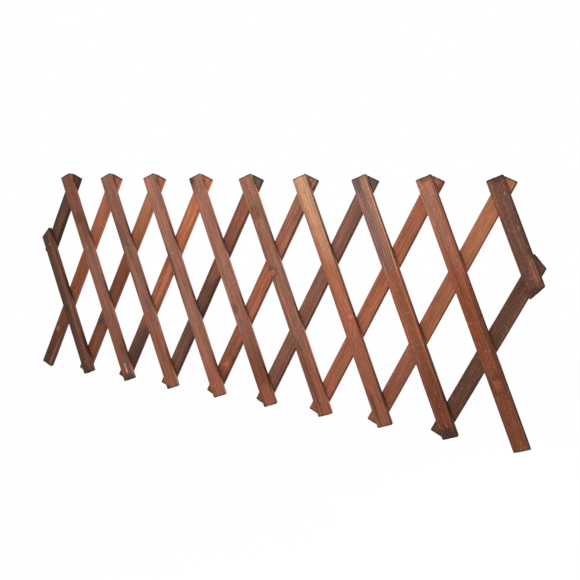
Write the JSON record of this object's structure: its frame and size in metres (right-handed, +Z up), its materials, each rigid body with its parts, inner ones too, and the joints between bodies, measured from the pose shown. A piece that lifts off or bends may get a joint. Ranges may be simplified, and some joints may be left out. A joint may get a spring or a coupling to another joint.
{
  "type": "expandable trellis",
  "caption": "Expandable wooden trellis of flat crossing slats riveted into a scissor lattice that folds up and stretches sideways, for a wall or climbing plants.",
  "frame": {"origin": "in the wall plane behind the lattice, on the axis of the centre rivet, which is in the third row of rivets from the top", "axes": "+X to the right along the lattice as seen from the front, +Y back into the wall, +Z up"},
  "size_m": [1.0272, 0.0163, 0.4353],
  "materials": {
    "front_wood": "stained softwood with open grain, matt",
    "rear_wood": "stained softwood with open grain, matt, redder",
    "rivet_steel": "plain steel, dull"
  },
  "bodies": {
    "centre_rivet": {"centre_rivet": "rivet_steel"},
    "front_slat_1": {"front_slat_1": "front_wood", "rivets_1": "rivet_steel"},
    "front_slat_2": {"front_slat_2": "front_wood", "rivets_2": "rivet_steel"},
    "front_slat_3": {"front_slat_3": "front_wood", "rivets_3": "rivet_steel"},
    "front_slat_4": {"front_slat_4": "front_wood", "rivets_4": "rivet_steel"},
    "front_slat_5": {"front_slat_5": "front_wood", "rivets_5": "rivet_steel"},
    "front_slat_6": {"front_slat_6": "front_wood", "rivets_6": "rivet_steel"},
    "front_slat_7": {"front_slat_7": "front_wood", "rivets_7": "rivet_steel"},
    "front_slat_8": {"front_slat_8": "front_wood", "rivets_8": "rivet_steel"},
    "front_slat_9": {"front_slat_9": "front_wood", "rivets_9": "rivet_steel"},
    "front_slat_10": {"front_slat_10": "front_wood", "rivets_10": "rivet_steel"},
    "rear_slat_1": {"rear_slat_1": "rear_wood"},
    "rear_slat_2": {"rear_slat_2": "rear_wood"},
    "rear_slat_3": {"rear_slat_3": "rear_wood"},
    "rear_slat_4": {"rear_slat_4": "rear_wood"},
    "rear_slat_5": {"rear_slat_5": "rear_wood"},
    "rear_slat_6": {"rear_slat_6": "rear_wood"},
    "rear_slat_7": {"rear_slat_7": "rear_wood"},
    "rear_slat_8": {"rear_slat_8": "rear_wood"},
    "rear_slat_9": {"rear_slat_9": "rear_wood"},
    "rear_slat_10": {"rear_slat_10": "rear_wood"}
  },
  "joints": [
    {"name": "expand", "type": "hinge", "parent": "centre_rivet", "child": "front_slat_5", "pos_m": [0, 0, 0], "axis": [0, -1, 0], "range_deg": [-17.5, 36.4]},
    {"name": "rear_slat_6_turn", "type": "hinge", "parent": "centre_rivet", "child": "rear_slat_6", "pos_m": [0, 0, 0], "axis": [0, -1, 0], "range_deg": [-36.4, 17.5]},
    {"name": "rear_slat_4_turn", "type": "hinge", "parent": "front_slat_5", "child": "rear_slat_4", "pos_m": [-0.10889, 0, 0.24925], "axis": [0, -1, 0], "range_deg": [-72.8, 35]},
    {"name": "rear_slat_5_turn", "type": "hinge", "parent": "front_slat_5", "child": "rear_slat_5", "pos_m": [-0.05445, 0, 0.12463], "axis": [0, -1, 0], "range_deg": [-72.8, 35]},
    {"name": "rear_slat_7_turn", "type": "hinge", "parent": "front_slat_5", "child": "rear_slat_7", "pos_m": [0.05445, 0, -0.12463], "axis": [0, -1, 0], "range_deg": [-72.8, 35]},
    {"name": "front_slat_7_turn", "type": "hinge", "parent": "rear_slat_6", "child": "front_slat_7", "pos_m": [0.10889, 0, 0.24925], "axis": [0, -1, 0], "range_deg": [-35, 72.8]},
    {"name": "front_slat_6_turn", "type": "hinge", "parent": "rear_slat_6", "child": "front_slat_6", "pos_m": [0.05445, 0, 0.12463], "axis": [0, -1, 0], "range_deg": [-35, 72.8]},
    {"name": "front_slat_4_turn", "type": "hinge", "parent": "rear_slat_6", "child": "front_slat_4", "pos_m": [-0.05445, 0, -0.12463], "axis": [0, -1, 0], "range_deg": [-35, 72.8]},
    {"name": "rear_slat_8_turn", "type": "hinge", "parent": "front_slat_7", "child": "rear_slat_8", "pos_m": [0.21779, 0, 0], "axis": [0, -1, 0], "range_deg": [-72.8, 35]},
    {"name": "rear_slat_9_turn", "type": "hinge", "parent": "front_slat_7", "child": "rear_slat_9", "pos_m": [0.27224, 0, -0.12463], "axis": [0, -1, 0], "range_deg": [-72.8, 35]},
    {"name": "front_slat_10_turn", "type": "hinge", "parent": "rear_slat_9", "child": "front_slat_10", "pos_m": [0.43558, 0, 0.24925], "axis": [0, -1, 0], "range_deg": [-35, 72.8]},
    {"name": "front_slat_9_turn", "type": "hinge", "parent": "rear_slat_9", "child": "front_slat_9", "pos_m": [0.38113, 0, 0.12463], "axis": [0, -1, 0], "range_deg": [-35, 72.8]},
    {"name": "front_slat_8_turn", "type": "hinge", "parent": "rear_slat_9", "child": "front_slat_8", "pos_m": [0.32668, 0, 0], "axis": [0, -1, 0], "range_deg": [-35, 72.8]},
    {"name": "rear_slat_10_turn", "type": "hinge", "parent": "front_slat_9", "child": "rear_slat_10", "pos_m": [0.43558, 0, 0], "axis": [0, -1, 0], "range_deg": [-72.8, 35]},
    {"name": "front_slat_3_turn", "type": "hinge", "parent": "rear_slat_4", "child": "front_slat_3", "pos_m": [-0.21779, 0, 0], "axis": [0, -1, 0], "range_deg": [-35, 72.8]},
    {"name": "front_slat_2_turn", "type": "hinge", "parent": "rear_slat_4", "child": "front_slat_2", "pos_m": [-0.27224, 0, -0.12463], "axis": [0, -1, 0], "range_deg": [-35, 72.8]},
    {"name": "rear_slat_1_turn", "type": "hinge", "parent": "front_slat_2", "child": "rear_slat_1", "pos_m": [-0.43558, 0, 0.24925], "axis": [0, -1, 0], "range_deg": [-72.8, 35]},
    {"name": "rear_slat_2_turn", "type": "hinge", "parent": "front_slat_2", "child": "rear_slat_2", "pos_m": [-0.38113, 0, 0.12463], "axis": [0, -1, 0], "range_deg": [-72.8, 35]},
    {"name": "rear_slat_3_turn", "type": "hinge", "parent": "front_slat_2", "child": "rear_slat_3", "pos_m": [-0.32668, 0, 0], "axis": [0, -1, 0], "range_deg": [-72.8, 35]},
    {"name": "front_slat_1_turn", "type": "hinge", "parent": "rear_slat_2", "child": "front_slat_1", "pos_m": [-0.43558, 0, 0], "axis": [0, -1, 0], "range_deg": [-35, 72.8]}
  ],
  "couplings": [
    {"joint": "rear_slat_6_turn", "follows": "expand", "ratio": -1},
    {"joint": "rear_slat_4_turn", "follows": "expand", "ratio": -2},
    {"joint": "rear_slat_5_turn", "follows": "expand", "ratio": -2},
    {"joint": "rear_slat_7_turn", "follows": "expand", "ratio": -2},
    {"joint": "front_slat_7_turn", "follows": "expand", "ratio": 2},
    {"joint": "front_slat_6_turn", "follows": "expand", "ratio": 2},
    {"joint": "front_slat_4_turn", "follows": "expand", "ratio": 2},
    {"joint": "rear_slat_8_turn", "follows": "expand", "ratio": -2},
    {"joint": "rear_slat_9_turn", "follows": "expand", "ratio": -2},
    {"joint": "front_slat_10_turn", "follows": "expand", "ratio": 2},
    {"joint": "front_slat_9_turn", "follows": "expand", "ratio": 2},
    {"joint": "front_slat_8_turn", "follows": "expand", "ratio": 2},
    {"joint": "rear_slat_10_turn", "follows": "expand", "ratio": -2},
    {"joint": "front_slat_3_turn", "follows": "expand", "ratio": 2},
    {"joint": "front_slat_2_turn", "follows": "expand", "ratio": 2},
    {"joint": "rear_slat_1_turn", "follows": "expand", "ratio": -2},
    {"joint": "rear_slat_2_turn", "follows": "expand", "ratio": -2},
    {"joint": "rear_slat_3_turn", "follows": "expand", "ratio": -2},
    {"joint": "front_slat_1_turn", "follows": "expand", "ratio": 2}
  ]
}
